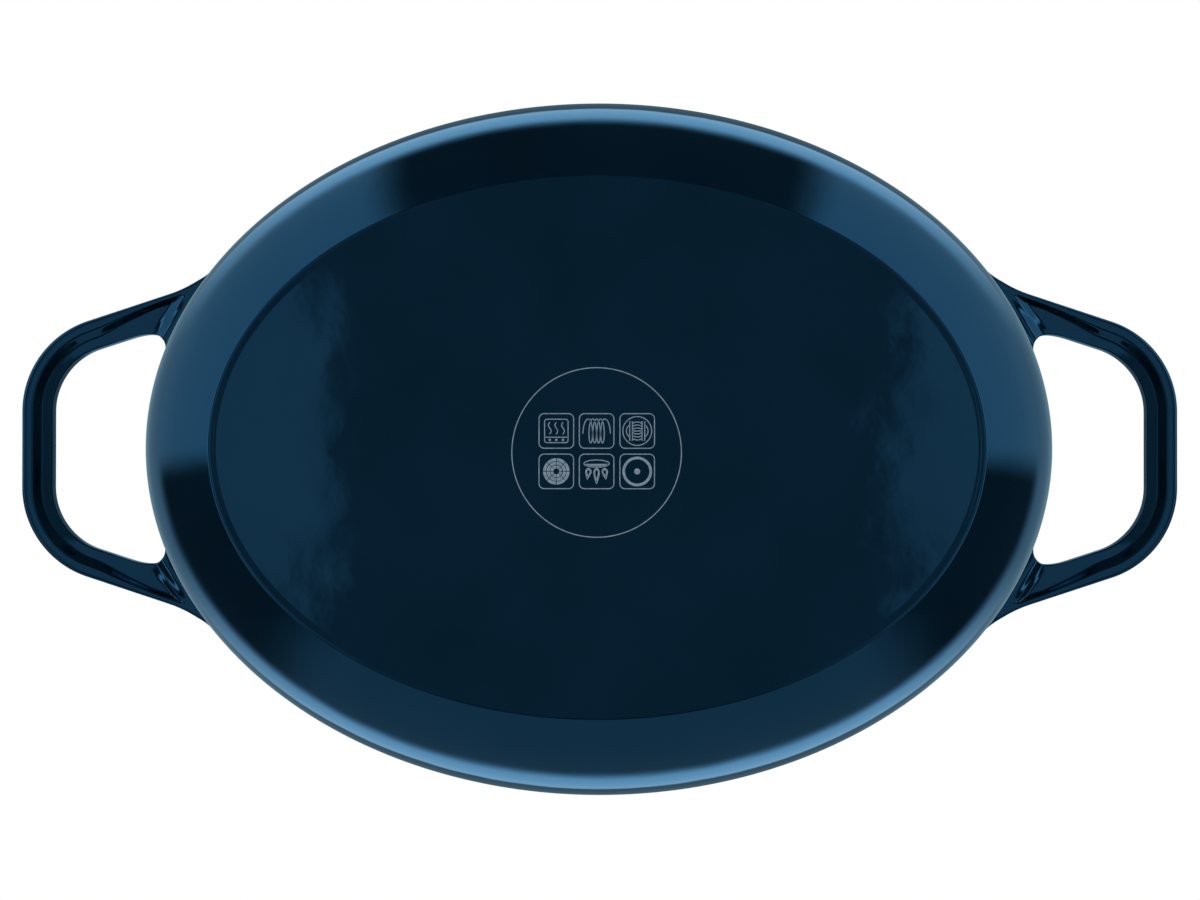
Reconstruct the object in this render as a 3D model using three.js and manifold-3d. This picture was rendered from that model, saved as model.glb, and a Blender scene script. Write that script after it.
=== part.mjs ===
// Enamelled cast-iron dutch oven: an oval pot with two loop handles cast in one with it,
// and a domed lid with a steel knob that a screw from beneath holds on.
// Millimetres, +Z up, long axis along X, origin at the middle of the plane that the foot ring stands on.

import * as THREE from "three";
import { mergeVertices } from "three/addons/utils/BufferGeometryUtils.js";
import Module from "manifold-3d";

const { degToRad, lerp, smoothstep } = THREE.MathUtils;
const point = (x, y) => new THREE.Vector2(x, y);

// Pot
const RIM_LENGTH = 324.4; // outside of the rim bead
const RIM_WIDTH = 248.6;
const SIDE_DRAW = 1.033; // the long sides draw in by this much more than the ends
const POT_HEIGHT = 108; // to the top of the rim's glaze
const POT_WALL = 4.5;
const POT_FLOOR = 4.5;
const BASE_INSET = 31.95; // the base's edge lies this far inside the rim's outline at the ends
const BASE_SLOPE = degToRad(39); // slope at which the wall leaves the base
const WALL_TOP = 100; // the curved wall stands upright from here to the bead
const FLOOR_BEND = 53; // how far the round of the inside reaches over the floor
const FOOT_WIDTH = 0.8; // flat ring round the base
const FOOT_ROUND = 0.6;
const BASE_RECESS = 0.25; // the base inside the foot ring is this much higher
const RECESS_SLOPE = 3;
const BEAD_HEIGHT = 2.4; // fine round bead along the rim
const BEAD_PROUD = 0.4;

// Handles
const HANDLE_REACH = 44.4; // from the rim's end to the outside of the bar
const HANDLE_BAR = 10.4; // width of the bar and of the arms
const HANDLE_SPAN = 76.2; // between the two corners that the outer round cuts off
const HANDLE_CORNER = 34; // outer radius
const HANDLE_SPLAY = degToRad(18.3); // slope of the arms against the long axis
const HANDLE_DROP = 11; // from the rim's top to the top of the handle
const HANDLE_DEPTH = 15;
const HANDLE_ROUND = 4; // radius along the upper edges
const HANDLE_EDGE = 1.2; // radius along the lower edges
const GRIP_LIP = 3.8; // flat strip along the outside of the underside
const GRIP_SLOPE = 2; // from the strip up to the finger recess
const GRIP_RECESS = 4;
const ROOT_FLARE_OUT = 13; // how far the outer fillets reach along the arm and along the wall
const ROOT_FLARE_IN = 20;
const ROOT_FLARE_DOWN = 0.6;
const ROOT_FLARE_UP = 3;
const ROOT_BURIAL = 1.5; // how deep the handle's ends reach into the wall
const RECESS_FADE = 0.6; // share of the root over which the finger recess runs out

// Lid
const LID_SETBACK = 1; // the lid's edge lies this far inside the rim's outline
const LID_WALL = 4.5;
const LID_ROUND = 1.8;
const FLANGE_WIDTH = 12;
const FLANGE_THICKNESS = 5;
const STEP_RUN = 11; // shoulder between the flange and the dome
const STEP_RISE = 10;
const CROWN_RISE = 13;
const BOSS_DIAMETER = 40; // flat seat of the knob
const BOSS_RISE = 1.5;
const SKIRT_DEPTH = 6; // rib that keeps the lid inside the mouth
const SKIRT_WIDTH = 3.5;
const SKIRT_CLEARANCE = 1.5;
const SKIRT_CHAMFER = 0.8;

// Knob and its fastening
const CAP_DIAMETER = 46;
const CAP_HEIGHT = 15;
const CAP_WALL = 1.6;
const CAP_BULGE = 4.5; // height of the cap's widest line
const CAP_TUCK = 3; // how much narrower the cap's underside is, all round
const STEM_HEIGHT = 20;
const STEM_FOOT = 30;
const STEM_WAIST = 18;
const STEM_COLLAR = 37;
const STEM_PLUG = 32; // the part of the stem that closes the cap
const STEM_LAND = 1.6; // height of the foot's and the collar's edges
const GASKET_DIAMETER = 34;
const GASKET_THICKNESS = 1.5;
const SCREW_DIAMETER = 6;
const SCREW_GRIP = 11; // length inside the stem
const SCREW_TIP = 0.8;
const HEAD_DIAMETER = 11.5;
const HEAD_HEIGHT = 3.6;
const HEAD_ROUND = 1.4;
const SLOT_WIDTH = 1.5;
const SLOT_DEPTH = 1.6;
const WASHER_DIAMETER = 17;
const WASHER_THICKNESS = 1.2;
const LOCK_DIAMETER = 11.5;
const LOCK_THICKNESS = 1.5;
const LOCK_SPLIT = degToRad(14);

// Coats and clearances
const GLAZE = 0.6;
const FIT = 0.3; // between pieces that touch
const HOLE_CLEARANCE = 0.5; // round the screw, in the lid

// Fineness
const OVAL_SIDES = 48;
const ROUND_SIDES = 24;
const BEND_STEPS = 9;
const BEAD_STEPS = 6;
const DOME_STEPS = 5;
const STEP_STEPS = 4;
const CORNER_STEPS = 8;
const FLARE_STEPS = 7;
const EDGE_STEPS = 2; // quarter rounds along edges
const WAIST_STEPS = 5;
const CAP_STEPS = 6;
const MERGE_DISTANCE = 1e-4;

const wasm = await Module();
wasm.setup();

// An outline of the pot's oval family keeps the same distance from the rim's outline all round.
const oval = (inset, z) => ({ a: RIM_LENGTH / 2 - inset, b: RIM_WIDTH / 2 - SIDE_DRAW * inset, z });
const circle = (radius, z) => ({ a: radius, b: radius, z });
const between = (from, to, share, z) => ({ a: lerp(from.a, to.a, share), b: lerp(from.b, to.b, share), z });
const ovals = (profile) => profile.map(({ x, y }) => oval(x, y));

function ringOf({ a, b, z }) {
  return Array.from({ length: OVAL_SIDES }, (_, k) => {
    const angle = (k / OVAL_SIDES) * 2 * Math.PI;
    return new THREE.Vector3(a * Math.cos(angle), b * Math.sin(angle), z);
  });
}

function signedVolume(points, faces) {
  let sum = 0;
  for (let k = 0; k < faces.length; k += 3) {
    const [p, q, r] = faces.slice(k, k + 3).map((index) => points[index]);
    sum += p.dot(q.clone().cross(r)) / 6;
  }
  return sum;
}

// A closed skin over rings of equally many points: either looped, or with a fan over each end.
function skin(rings, looped = false) {
  const size = rings[0].length;
  const points = rings.flat();
  const faces = [];
  const bands = looped ? rings.length : rings.length - 1;
  for (let band = 0; band < bands; band++) {
    const near = band * size;
    const far = ((band + 1) % rings.length) * size;
    for (let i = 0; i < size; i++) {
      const j = (i + 1) % size;
      faces.push(near + i, near + j, far + j, near + i, far + j, far + i);
    }
  }
  if (!looped) {
    const fan = (ring, start, forward) => {
      const hub = points.length;
      points.push(ring.reduce((sum, p) => sum.add(p), new THREE.Vector3()).divideScalar(size));
      for (let i = 0; i < size; i++) {
        const j = (i + 1) % size;
        faces.push(hub, start + (forward ? i : j), start + (forward ? j : i));
      }
    };
    fan(rings[0], 0, false);
    fan(rings.at(-1), (rings.length - 1) * size, true);
  }
  if (signedVolume(points, faces) < 0) faces.reverse();
  const geometry = new THREE.BufferGeometry().setFromPoints(points);
  geometry.setIndex(faces);
  return geometry;
}

const ovalSkin = (outlines, looped) => skin(outlines.map(ringOf), looped);

function lathe(profile) {
  const upright = new THREE.LatheGeometry(profile, ROUND_SIDES);
  return upright.rotateX(Math.PI / 2);
}

function solidOf(geometry) {
  const bare = geometry.clone();
  bare.deleteAttribute("normal");
  bare.deleteAttribute("uv");
  const merged = mergeVertices(bare, MERGE_DISTANCE);
  const mesh = new wasm.Mesh({
    numProp: 3,
    vertProperties: new Float32Array(merged.attributes.position.array),
    triVerts: new Uint32Array(merged.index.array),
  });
  return new wasm.Manifold(mesh);
}

function geometryOf(solid) {
  const { vertProperties, triVerts } = solid.getMesh();
  const geometry = new THREE.BufferGeometry();
  geometry.setAttribute("position", new THREE.BufferAttribute(vertProperties, 3));
  geometry.setIndex(new THREE.BufferAttribute(triVerts, 1));
  return geometry;
}

function piece(name, geometry, { color, roughness, metalness }) {
  geometry.computeVertexNormals();
  const mesh = new THREE.Mesh(geometry, new THREE.MeshStandardMaterial({ color, roughness, metalness }));
  mesh.name = name;
  return mesh;
}

const BLUE_ENAMEL = { color: 0x03304f, roughness: 0.15, metalness: 0 };
const CREAM_ENAMEL = { color: 0xe9e0cd, roughness: 0.2, metalness: 0 };
const RIM_ENAMEL = { color: 0x24272b, roughness: 0.6, metalness: 0 };
const STEEL = { color: 0xc4c6c8, roughness: 0.3, metalness: 1 };
const SILICONE = { color: 0x1d1d1f, roughness: 0.8, metalness: 0 };

// Heights and insets of the pot's wall; the lining and the lid's skirt follow them
const rimTop = POT_HEIGHT - GLAZE - FIT;
const beadFoot = rimTop - BEAD_HEIGHT;
const floorTop = BASE_RECESS + POT_FLOOR;
const wallDepth = BASE_INSET - BEAD_PROUD;
const wallCorner = FOOT_ROUND + wallDepth * Math.tan(BASE_SLOPE);

// The wall curves from the slope at the base's edge until it stands upright.
const wallCurve = new THREE.QuadraticBezierCurve(
  point(BASE_INSET, FOOT_ROUND),
  point(BEAD_PROUD, wallCorner),
  point(BEAD_PROUD, WALL_TOP),
);

// Inset of that curve at a height
function wallInset(z) {
  const bend = FOOT_ROUND - 2 * wallCorner + WALL_TOP;
  const start = wallCorner - FOOT_ROUND;
  const share = (Math.sqrt(start * start + bend * (z - FOOT_ROUND)) - start) / bend;
  return BEAD_PROUD + wallDepth * Math.max(1 - share, 0) ** 2;
}

const mouthInset = BEAD_PROUD + POT_WALL + FIT + GLAZE;

// Outside of the pot from the recessed base to the rim, as insets and heights
function potOutside() {
  const footOuter = BASE_INSET + FOOT_ROUND;
  const footInner = footOuter + FOOT_WIDTH;
  const bead = new THREE.EllipseCurve(
    BEAD_PROUD,
    (beadFoot + rimTop) / 2,
    BEAD_PROUD,
    BEAD_HEIGHT / 2,
    -Math.PI / 2,
    Math.PI / 2,
    true,
  );
  return [
    point(footInner + RECESS_SLOPE, BASE_RECESS),
    point(footInner, 0),
    point(footOuter, 0),
    ...wallCurve.getPoints(BEND_STEPS),
    ...bead.getPoints(BEAD_STEPS),
  ];
}

// Inside of the pot from the rim to the floor, moved into the hollow by a coat
function potInside(coat) {
  const floor = floorTop + coat;
  const side = BEAD_PROUD + POT_WALL + coat;
  const bend = new THREE.QuadraticBezierCurve(
    point(side, WALL_TOP),
    point(side, floor),
    point(side + FLOOR_BEND, floor),
  );
  return [point(side, rimTop), ...bend.getPoints(BEND_STEPS)];
}

// Where a line from a start outside an oval first meets it
function meet(start, direction, { a, b }) {
  const from = point(start.x / a, start.y / b);
  const step = point(direction.x / a, direction.y / b);
  const half = from.dot(step);
  const root = Math.sqrt(half * half - step.lengthSq() * (from.lengthSq() - 1));
  return start.clone().addScaledVector(direction, (-half - root) / step.lengthSq());
}

// The point a given way along an oval from one of its points
function along({ x, y }, way, { a, b }) {
  const angle = Math.atan2(y / b, x / a);
  const turned = angle + way / Math.hypot(a * Math.sin(angle), b * Math.cos(angle));
  return point(a * Math.cos(turned), b * Math.sin(turned));
}

const handleTop = POT_HEIGHT - HANDLE_DROP;
const handleFoot = handleTop - HANDLE_DEPTH;
const handleMiddle = (handleTop + handleFoot) / 2;

// One edge of half a handle in plan, from the middle of the bar to the wall: bar, corner, arm and root.
// The fillet of the root runs out along the wall, and its end is buried in it.
function handleEdge(offset, flare) {
  const reach = RIM_LENGTH / 2 + HANDLE_REACH;
  const turn = Math.PI / 2 - HANDLE_SPLAY;
  const centre = point(reach - HANDLE_CORNER, HANDLE_SPAN / 2 - HANDLE_CORNER * Math.tan(turn / 2));
  const radius = HANDLE_CORNER - offset;
  const corner = new THREE.EllipseCurve(centre.x, centre.y, radius, radius, 0, turn);
  const armStart = corner.getPoint(1);
  const inward = point(-Math.cos(HANDLE_SPLAY), Math.sin(HANDLE_SPLAY));
  const line = oval(wallInset(handleMiddle), handleMiddle);
  const core = oval(wallInset(handleMiddle) + ROOT_BURIAL, handleMiddle);
  const hit = meet(armStart, inward, line);
  const armEnd = hit.clone().addScaledVector(inward, -Math.abs(flare));
  const rootEnd = along(hit, flare, line);
  const root = new THREE.QuadraticBezierCurve(armEnd, hit, rootEnd);
  const buried = rootEnd.clone().multiply(point(core.a / line.a, core.b / line.b));
  return {
    arm: [point(reach - offset, 0), ...corner.getPoints(CORNER_STEPS)],
    root: [...root.getPoints(FLARE_STEPS), buried],
  };
}

// Quarter round between two edges of the section, from its first edge to its second
function quarter(x, y, radius, start) {
  return new THREE.EllipseCurve(x, y, radius, radius, start, start + Math.PI / 2).getPoints(EDGE_STEPS);
}

// Section of a handle: x runs from the outer edge to the inner one, y is the height.
// Openness 1 is the full finger recess under the bar, 0 is a flat underside.
function handleSection(width, openness, foot, top) {
  const recess = foot + GRIP_RECESS * openness;
  const slopeEnd = GRIP_LIP + GRIP_SLOPE;
  return [
    ...quarter(HANDLE_EDGE, foot + HANDLE_EDGE, HANDLE_EDGE, Math.PI),
    point(GRIP_LIP, foot),
    point(slopeEnd, recess),
    ...quarter(width - HANDLE_EDGE, recess + HANDLE_EDGE, HANDLE_EDGE, -Math.PI / 2),
    ...quarter(width - HANDLE_ROUND, top - HANDLE_ROUND, HANDLE_ROUND, 0),
    ...quarter(HANDLE_ROUND, top - HANDLE_ROUND, HANDLE_ROUND, Math.PI / 2),
  ];
}

// Ring of the handle's skin between an outer and an inner plan point; share is 0 on the arm, 1 at the wall
function handleRing(outer, inner, share) {
  const width = outer.distanceTo(inner);
  const across = inner.clone().sub(outer).divideScalar(width);
  const towardWall = point(across.y, -across.x);
  const foot = handleFoot - ROOT_FLARE_DOWN * share * share;
  const top = handleTop + ROOT_FLARE_UP * share * share;
  return handleSection(width, 1 - smoothstep(share, 0, RECESS_FADE), foot, top).map(({ x, y }) => {
    const lean = share * (wallInset(y) - wallInset(handleMiddle));
    const place = outer.clone().addScaledVector(across, x).addScaledVector(towardWall, lean);
    return new THREE.Vector3(place.x, place.y, y);
  });
}

function handleSkin() {
  const outer = handleEdge(0, ROOT_FLARE_OUT);
  const inner = handleEdge(HANDLE_BAR, -ROOT_FLARE_IN);
  const last = outer.root.length - 1;
  const half = [
    ...outer.arm.map((p, k) => handleRing(p, inner.arm[k], 0)),
    ...outer.root.map((p, k) => handleRing(p, inner.root[k], k / last)),
  ];
  const mirrored = half.slice(1).map((ring) => ring.map(({ x, y, z }) => new THREE.Vector3(x, -y, z)));
  return skin([...mirrored.reverse(), ...half]);
}

function potCasting() {
  const bowl = ovalSkin(ovals([...potOutside(), ...potInside(0)]));
  const handle = handleSkin();
  const opposite = handle.clone().rotateZ(Math.PI);
  return geometryOf(solidOf(bowl).add(solidOf(handle)).add(solidOf(opposite)));
}

function potLining() {
  return ovalSkin(ovals([...potInside(FIT).reverse(), ...potInside(FIT + GLAZE)]));
}

// A flat oval ring
function band(outerInset, innerInset, bottom, top) {
  const outer = [oval(outerInset, bottom), oval(outerInset, top)];
  const inner = [oval(innerInset, top), oval(innerInset, bottom)];
  return ovalSkin([...outer, ...inner], true);
}

// Heights of the lid, measured from the plane of its seat, and insets of its flange and skirt
const flangeBottom = GLAZE + FIT;
const flangeTop = flangeBottom + FLANGE_THICKNESS;
const shoulder = flangeTop + STEP_RISE;
const crown = shoulder + CROWN_RISE;
const bossTop = crown + BOSS_RISE;
const seatHeight = POT_HEIGHT + FIT;
const skirtBottom = -SKIRT_DEPTH;
const skirtOuter = mouthInset + SKIRT_CLEARANCE;
const skirtInner = skirtOuter + SKIRT_WIDTH;
const stepFoot = LID_SETBACK + FLANGE_WIDTH;
const stepTop = stepFoot + STEP_RUN;
const holeRadius = SCREW_DIAMETER / 2 + HOLE_CLEARANCE;
const bossRadius = BOSS_DIAMETER / 2;

// Shoulder from the flange up to the dome, moved down and in by the lid's wall for its underside
function lidStep(drop) {
  const foot = stepFoot + drop / 2;
  const step = new THREE.CubicBezierCurve(
    point(foot, flangeTop - drop),
    point(foot + STEP_RUN / 2, flangeTop - drop),
    point(foot + STEP_RUN / 3, shoulder - STEP_RISE / 4 - drop),
    point(foot + STEP_RUN, shoulder - drop),
  );
  return ovals(step.getPoints(STEP_STEPS));
}

// The dome grows from a circle round the boss into the oval at the shoulder.
function dome(drop) {
  const rim = oval(stepTop + drop / 2, 0);
  const hub = circle(bossRadius + BOSS_RISE, 0);
  return Array.from({ length: DOME_STEPS + 1 }, (_, k) => {
    const share = k / DOME_STEPS;
    return between(hub, rim, share, crown - drop - CROWN_RISE * share * share);
  });
}

// Underside of the lid from the screw's hole to the bottom of the skirt, moved down by a coat
function lidUnderside(coat) {
  const drop = LID_WALL + coat;
  return [
    circle(holeRadius, crown - drop),
    ...dome(drop),
    ...lidStep(drop).reverse().slice(1),
    oval(skirtInner + coat, flangeTop - drop),
    oval(skirtInner + coat, skirtBottom + SKIRT_CHAMFER),
  ];
}

function lidCasting() {
  const edge = new THREE.EllipseCurve(
    LID_SETBACK + LID_ROUND,
    flangeTop - LID_ROUND,
    LID_ROUND,
    LID_ROUND,
    Math.PI,
    Math.PI / 2,
    true,
  );
  const upper = [
    oval(LID_SETBACK + LID_ROUND / 2, flangeBottom),
    oval(LID_SETBACK, flangeBottom + LID_ROUND / 2),
    ...ovals(edge.getPoints(EDGE_STEPS)),
    ...lidStep(0),
    ...dome(0).reverse().slice(1),
    circle(bossRadius, bossTop),
    circle(holeRadius, bossTop),
  ];
  const skirt = [
    oval(skirtInner - SKIRT_CHAMFER, skirtBottom),
    oval(skirtOuter + SKIRT_CHAMFER, skirtBottom),
    oval(skirtOuter, skirtBottom + SKIRT_CHAMFER),
    oval(skirtOuter, flangeBottom),
  ];
  return ovalSkin([...upper, ...lidUnderside(0), ...skirt], true);
}

function lidLining() {
  return ovalSkin([...lidUnderside(FIT), ...lidUnderside(FIT + GLAZE).reverse()], true);
}

// Stack of the knob above the lid and of its screw below, from the same seat
const gasketBottom = bossTop + FIT;
const stemBottom = gasketBottom + GASKET_THICKNESS + FIT;
const stemTop = stemBottom + STEM_HEIGHT;
const capBottom = stemTop - CAP_WALL;
const washerTop = crown - LID_WALL - FIT - GLAZE - FIT;
const lockTop = washerTop - WASHER_THICKNESS - FIT;
const headTop = lockTop - LOCK_THICKNESS - FIT;
const screwTip = stemBottom + SCREW_GRIP;
const boreRadius = SCREW_DIAMETER / 2 + FIT;

function washer(outerRadius, bottom, top) {
  const outline = [
    point(boreRadius, bottom),
    point(outerRadius, bottom),
    point(outerRadius, top),
    point(boreRadius, top),
    point(boreRadius, bottom),
  ];
  return lathe(outline);
}

function knobStem() {
  const collarTop = capBottom - FIT;
  const collarFoot = collarTop - STEM_LAND;
  const footTop = stemBottom + STEM_LAND;
  const waist = (footTop + collarFoot) / 2;
  const lower = new THREE.QuadraticBezierCurve(
    point(STEM_FOOT / 2, footTop),
    point(STEM_WAIST / 2, footTop),
    point(STEM_WAIST / 2, waist),
  );
  const upper = new THREE.QuadraticBezierCurve(
    point(STEM_WAIST / 2, waist),
    point(STEM_WAIST / 2, collarFoot),
    point(STEM_COLLAR / 2, collarFoot),
  );
  return lathe([
    point(0, screwTip + FIT),
    point(boreRadius, screwTip + FIT),
    point(boreRadius, stemBottom),
    point(STEM_FOOT / 2, stemBottom),
    ...lower.getPoints(WAIST_STEPS),
    ...upper.getPoints(WAIST_STEPS).slice(1),
    point(STEM_COLLAR / 2, collarTop),
    point(STEM_PLUG / 2, collarTop),
    point(STEM_PLUG / 2, stemTop),
    point(0, stemTop),
  ]);
}

function knobCap() {
  const opening = STEM_PLUG / 2 + FIT;
  const radius = CAP_DIAMETER / 2;
  const widest = capBottom + CAP_BULGE;
  const crownOf = (inset) => {
    const rise = CAP_HEIGHT - CAP_BULGE - inset;
    return new THREE.EllipseCurve(0, widest, radius - inset, rise, 0, Math.PI / 2).getPoints(CAP_STEPS);
  };
  return lathe([
    ...crownOf(CAP_WALL).reverse(),
    point(radius - CAP_TUCK - CAP_WALL / 2, capBottom + CAP_WALL),
    point(opening, capBottom + CAP_WALL),
    point(opening, capBottom),
    point(radius - CAP_TUCK, capBottom),
    ...crownOf(0),
  ]);
}

function knobScrew() {
  const headBottom = headTop - HEAD_HEIGHT;
  const turned = lathe([
    point(0, headBottom),
    point(HEAD_DIAMETER / 2 - HEAD_ROUND, headBottom),
    point(HEAD_DIAMETER / 2, headBottom + HEAD_ROUND),
    point(HEAD_DIAMETER / 2, headTop),
    point(SCREW_DIAMETER / 2, headTop),
    point(SCREW_DIAMETER / 2, screwTip - SCREW_TIP),
    point(SCREW_DIAMETER / 2 - SCREW_TIP, screwTip),
    point(0, screwTip),
  ]);
  const slot = new THREE.BoxGeometry(2 * HEAD_DIAMETER, SLOT_WIDTH, 2 * SLOT_DEPTH);
  slot.translate(0, 0, headBottom);
  return geometryOf(solidOf(turned).subtract(solidOf(slot)));
}

// Spring washer: a ring with a narrow split
function lockWasher() {
  const ring = new THREE.Shape();
  ring.absarc(0, 0, LOCK_DIAMETER / 2, LOCK_SPLIT / 2, 2 * Math.PI - LOCK_SPLIT / 2, false);
  ring.absarc(0, 0, boreRadius, 2 * Math.PI - LOCK_SPLIT / 2, LOCK_SPLIT / 2, true);
  ring.closePath();
  const flat = new THREE.ExtrudeGeometry(ring, {
    depth: LOCK_THICKNESS,
    bevelEnabled: false,
    curveSegments: ROUND_SIDES,
  });
  return flat.translate(0, 0, lockTop - LOCK_THICKNESS);
}

function potGroup() {
  const pot = new THREE.Group();
  const rimInner = mouthInset;
  pot.add(
    piece("pot_casting", potCasting(), BLUE_ENAMEL),
    piece("pot_lining", potLining(), CREAM_ENAMEL),
    piece("pot_rim_glaze", band(BEAD_PROUD, rimInner, POT_HEIGHT - GLAZE, POT_HEIGHT), RIM_ENAMEL),
  );
  return pot;
}

function lidGroup() {
  const lid = new THREE.Group();
  const gasketTop = gasketBottom + GASKET_THICKNESS;
  lid.add(
    piece("lid_casting", lidCasting(), BLUE_ENAMEL),
    piece("lid_lining", lidLining(), CREAM_ENAMEL),
    piece("lid_rim_glaze", band(LID_SETBACK + LID_ROUND, skirtOuter - FIT, 0, GLAZE), RIM_ENAMEL),
    piece("knob_gasket", washer(GASKET_DIAMETER / 2, gasketBottom, gasketTop), SILICONE),
    piece("knob_stem", knobStem(), STEEL),
    piece("knob_cap", knobCap(), STEEL),
    piece("screw_washer", washer(WASHER_DIAMETER / 2, washerTop - WASHER_THICKNESS, washerTop), STEEL),
    piece("lock_washer", lockWasher(), STEEL),
    piece("knob_screw", knobScrew(), STEEL),
  );
  lid.position.z = seatHeight;
  return lid;
}

const dutchOven = new THREE.Group();
dutchOven.add(potGroup(), lidGroup());

export default dutchOven;
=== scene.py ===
"""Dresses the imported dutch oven: enamelled castings, lining, printed base, steel knob and the studio."""
import math

import bmesh
import bpy
from mathutils import Matrix, Vector
from mathutils.bvhtree import BVHTree


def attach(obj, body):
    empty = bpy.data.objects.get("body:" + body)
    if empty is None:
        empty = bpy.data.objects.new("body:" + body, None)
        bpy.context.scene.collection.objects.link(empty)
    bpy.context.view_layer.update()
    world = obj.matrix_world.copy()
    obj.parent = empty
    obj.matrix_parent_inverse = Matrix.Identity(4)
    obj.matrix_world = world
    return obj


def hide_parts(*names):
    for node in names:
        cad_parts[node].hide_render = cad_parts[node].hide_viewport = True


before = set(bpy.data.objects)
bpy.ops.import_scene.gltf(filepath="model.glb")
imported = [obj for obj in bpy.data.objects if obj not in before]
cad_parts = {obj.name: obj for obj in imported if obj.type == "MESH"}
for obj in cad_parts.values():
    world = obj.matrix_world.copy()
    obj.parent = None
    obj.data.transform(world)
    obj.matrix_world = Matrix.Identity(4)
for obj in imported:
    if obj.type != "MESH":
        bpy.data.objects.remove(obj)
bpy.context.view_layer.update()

MM = 0.001

# Pot, in millimetres
RIM_LENGTH = 324.4
RIM_WIDTH = 248.6
SIDE_DRAW = 1.033
POT_HEIGHT = 108.0
POT_WALL = 4.5
POT_FLOOR = 4.5
BASE_INSET = 31.95
BASE_SLOPE = math.radians(39)
WALL_TOP = 100.0
FLOOR_BEND = 53.0
FOOT_WIDTH = 0.1
FOOT_ROUND = 0.6
FOOT_SOFTENING = 0.45
BASE_RECESS = 0.25
RECESS_SLOPE = 2.3
BEAD_HEIGHT = 2.4
BEAD_PROUD = 0.4
BEAD_FILLET = 0.4

# Handles
HANDLE_REACH = 44.4
HANDLE_BAR = 10.4
HANDLE_SPAN = 76.2
HANDLE_CORNER = 34.0
HANDLE_SPLAY = math.radians(18.3)
HANDLE_DROP = 11.0
HANDLE_DEPTH = 15.0
HANDLE_ROUND = 4.0
HANDLE_EDGE = 1.2
GRIP_LIP = 4.1
GRIP_SLOPE = 2.2
GRIP_RECESS = 3.5
GRIP_TILT = 0.4
GRIP_LIP_ROUND = 0.9
GRIP_HEEL_ROUND = 1.0
GRIP_EDGE = 0.8
RECESS_END = 3.4
RECESS_FULL = 6.2
ROOT_FLARE_OUT = 13.0
ROOT_FLARE_IN = 20.0
ROOT_FLARE_DOWN = 0.6
ROOT_FLARE_UP = 3.0
ROOT_BURIAL = 1.5

# Lid
LID_SETBACK = 1.0
LID_WALL = 4.5
LID_ROUND = 1.8
FLANGE_WIDTH = 12.0
FLANGE_THICKNESS = 5.0
STEP_RUN = 11.0
STEP_RISE = 10.0
CROWN_RISE = 13.0
BOSS_DIAMETER = 40.0
BOSS_RISE = 1.5
SKIRT_DEPTH = 6.0
SKIRT_WIDTH = 3.5
SKIRT_CLEARANCE = 1.5
SKIRT_CHAMFER = 0.8
SKIRT_ROUND = 1.5

# Knob and its fastening
CAP_DIAMETER = 46.0
CAP_HEIGHT = 15.0
CAP_WALL = 1.6
CAP_BULGE = 4.5
CAP_TUCK = 3.0
STEM_HEIGHT = 20.0
STEM_FOOT = 30.0
STEM_WAIST = 18.0
STEM_COLLAR = 37.0
STEM_PLUG = 32.0
STEM_LAND = 1.6
GASKET_DIAMETER = 34.0
GASKET_THICKNESS = 1.5
SCREW_DIAMETER = 6.0
SCREW_GRIP = 11.0
SCREW_TIP = 0.8
HEAD_DIAMETER = 11.5
HEAD_HEIGHT = 3.6
HEAD_ROUND = 1.4
SLOT_WIDTH = 1.5
SLOT_DEPTH = 1.6
WASHER_DIAMETER = 17.0
WASHER_THICKNESS = 1.2
LOCK_DIAMETER = 11.5
LOCK_THICKNESS = 1.5
LOCK_SPLIT = math.radians(14)
SMALL_ROUND = 0.3

# Coats and clearances
GLAZE = 0.6
FIT = 0.3
HOLE_CLEARANCE = 0.5

# Print on the base
RING_RADIUS = 28.2
RING_SIDE = -0.1
RING_SHIFT = 1.8
LINE = 0.32
INK = 0.05
TILE = 11.5
TILE_ROUND = 1.7
TILE_COLUMNS = (-13.4, 0.0, 13.5)
TILE_ROWS = (-7.15, 6.3)

# Camera of the photograph
FRAME_WIDTH = 1200
LENS = 98.55
SENSOR = 36.0
CAMERA_DEPTH = 1092.0
CAMERA_RIGHT = 9.5
CAMERA_SIDE = 10.3
CAMERA_TILT = math.radians(0.489)
CAMERA_PAN = math.radians(0.444)
CAMERA_ROLL = math.radians(-0.05)

# Studio: a level of 1 is white; elevations and azimuths in degrees, azimuth from +X
WORLD_LEVEL = 0.8
TENT_RADIUS = 1.1
TENT_COLOR = (0.5, 0.82, 1.0)
CLOTH_LEVEL = 0.02
SOFTBOX_SIDE = 1.2
SOFTBOX_END = 0.35
SOFTBOX_FOOT = 50
SOFTBOX_TOP = 60
SOFTBOX_SOFTNESS = 14
CEILING_SOFTNESS = 2
CEILING_SIDE = 0.2
CEILING_END = 0.4
CEILING_TOP = 75
ZENITH_LEVEL = 0.15
PANEL_TURN = 60
PANEL_HALF = 33
PANEL_LEVEL = 0.36
PANEL_FOOT = -25
PANEL_SOFTNESS = 4
BACK_PANEL_HALF = 42
BACK_PANEL_LEVEL = 0.14
BACK_PANEL_SOFTNESS = 8
END_FILL = 0.7
END_FILL_FOOT = -40
LOW_SOFTNESS = 5
UNDER_LEVEL = 0.06
UNDER_END = 0.12
UNDER_TOP = -63
UNDER_HALF = 0.186  # metres
UNDER_SOFTNESS = 0.008

OVAL_SIDES = 288
ROUND_SIDES = 96


def bezier(points, steps):
    """Points along a quadratic or cubic Bezier curve."""
    made = []
    for k in range(steps + 1):
        level = [Vector(p) for p in points]
        while len(level) > 1:
            level = [a.lerp(b, k / steps) for a, b in zip(level, level[1:])]
        made.append(level[0])
    return made


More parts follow.
